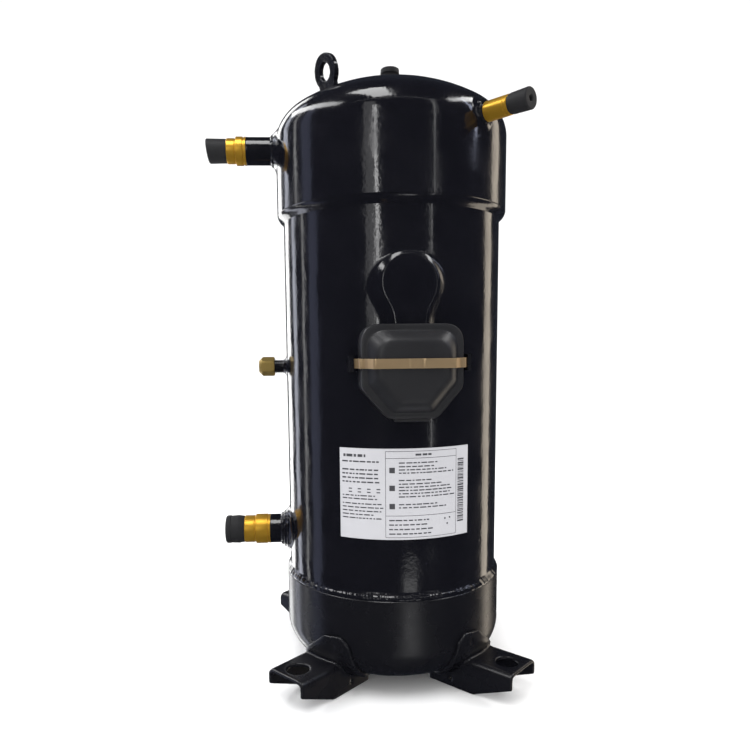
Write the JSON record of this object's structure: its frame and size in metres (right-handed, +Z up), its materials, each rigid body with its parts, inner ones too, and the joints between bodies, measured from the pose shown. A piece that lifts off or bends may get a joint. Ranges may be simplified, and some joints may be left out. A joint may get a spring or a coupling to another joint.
{
  "type": "scroll compressor",
  "caption": "Upright hermetic scroll compressor: welded steel can on channel feet, side suction stub, top discharge stub, strapped terminal cover.",
  "frame": {"origin": "centre of the square of foot holes, in the plane of the foot plates' underside", "axes": "+Z up the can's axis, -Y towards the terminal box, -X towards the suction stub"},
  "size_m": [0.2994, 0.2557, 0.582],
  "materials": {
    "black_enamel": "gloss",
    "satin_black": "satin",
    "rubber": "matte",
    "gold_sleeve": "satin",
    "brass": "satin",
    "steel": "satin",
    "terminal_glass": "gloss",
    "copper": "satin",
    "cover_plastic": "matte",
    "strap_steel": "satin",
    "label_film": "satin",
    "cast_iron": "matte",
    "aluminium": "satin",
    "lamination": "matte",
    "lead_sleeve": "matte",
    "connector_plastic": "matte"
  },
  "bodies": {
    "can": {"main_shell": "black_enamel", "upper_cap": "black_enamel", "lower_cap": "satin_black", "upper_weld": "black_enamel", "lower_weld": "black_enamel", "foot_front_left": "satin_black", "foot_front_right": "satin_black", "foot_back_left": "satin_black", "foot_back_right": "satin_black", "lifting_lug": "black_enamel", "sensor_well": "black_enamel", "suction_stub": "black_enamel", "suction_sleeve": "gold_sleeve", "equaliser_stub": "black_enamel", "equaliser_sleeve": "gold_sleeve", "discharge_stub": "black_enamel", "discharge_sleeve": "gold_sleeve", "service_fitting": "black_enamel", "service_valve_core": "brass", "terminal_fence": "satin_black", "hermetic_terminal": "steel", "terminal_glass_seals": "terminal_glass", "terminal_pins": "copper", "terminal_gasket": "rubber", "strap_hooks": "satin_black", "name_label": "label_film", "fixed_scroll": "cast_iron", "main_frame": "cast_iron", "main_bearing": "brass", "stator_core": "lamination", "stator_windings": "copper", "motor_leads": "lead_sleeve", "lead_connector": "connector_plastic", "lower_bearing_frame": "cast_iron", "lower_bearing": "brass", "thrust_plate": "steel", "valve_cage": "steel", "scroll_bolts": "steel", "suction_inlet_tube": "copper"},
    "shaft": {"crankshaft": "steel", "upper_counterweight": "brass", "rotor_core": "lamination", "rotor_end_rings": "aluminium", "lower_counterweight": "brass", "oil_pickup": "steel"},
    "orbiter": {"orbiting_scroll": "aluminium", "drive_bush": "brass", "oldham_ring": "aluminium"},
    "valve_disc": {"discharge_valve": "steel"},
    "suction_plug": {"suction_plug": "rubber"},
    "equaliser_plug": {"equaliser_plug": "rubber"},
    "discharge_plug": {"discharge_plug": "rubber"},
    "sensor_well_plug": {"sensor_well_plug": "rubber"},
    "service_valve_pin": {"service_valve_pin": "steel"},
    "cap_seal": {"cap_seal": "rubber"},
    "service_cap": {"service_cap": "brass"},
    "terminal_cover": {"terminal_cover": "cover_plastic"},
    "cover_strap": {"cover_strap": "strap_steel"}
  },
  "joints": [
    {"name": "shaft_spin", "type": "hinge", "parent": "can", "child": "shaft", "pos_m": [0, 0, 0.3], "axis": [0, 0, 1], "continuous": true},
    {"name": "scroll_orbit", "type": "hinge", "parent": "shaft", "child": "orbiter", "pos_m": [0.005, 0, 0.428], "axis": [0, 0, 1], "continuous": true},
    {"name": "discharge_valve_lift", "type": "slide", "parent": "can", "child": "valve_disc", "axis": [0, 0, 1], "range_m": [0, 0.0035]},
    {"name": "suction_plug_pull", "type": "slide", "parent": "can", "child": "suction_plug", "axis": [-1, 0, 0], "range_m": [0, 0.03]},
    {"name": "equaliser_plug_pull", "type": "slide", "parent": "can", "child": "equaliser_plug", "axis": [-1, 0, 0], "range_m": [0, 0.03]},
    {"name": "discharge_plug_pull", "type": "slide", "parent": "can", "child": "discharge_plug", "axis": [0.6428, -0.766, 0], "range_m": [0, 0.03]},
    {"name": "sensor_well_plug_pull", "type": "slide", "parent": "can", "child": "sensor_well_plug", "axis": [0, 0, 1], "range_m": [0, 0.03]},
    {"name": "valve_pin_press", "type": "slide", "parent": "can", "child": "service_valve_pin", "axis": [1, 0, 0], "range_m": [0, 0.0015], "stiffness_N_per_m": 400},
    {"name": "cap_travel", "type": "slide", "parent": "can", "child": "cap_seal", "axis": [-1, 0, 0], "range_m": [0, 0.0127]},
    {"name": "service_cap_turn", "type": "hinge", "parent": "cap_seal", "child": "service_cap", "pos_m": [-0.125, 0, 0.2725], "axis": [-1, 0, 0], "range_deg": [0, 3600]},
    {"name": "terminal_cover_pull", "type": "slide", "parent": "can", "child": "terminal_cover", "axis": [0.0436, -0.999, 0], "range_m": [0, 0.06]},
    {"name": "cover_strap_pull", "type": "slide", "parent": "terminal_cover", "child": "cover_strap", "axis": [0.0436, -0.999, 0], "range_m": [0, 0.04]}
  ],
  "couplings": [
    {"joint": "scroll_orbit", "follows": "shaft_spin", "ratio": -1},
    {"joint": "cap_travel", "follows": "service_cap_turn", "m_per_rad": 0.00020213}
  ]
}
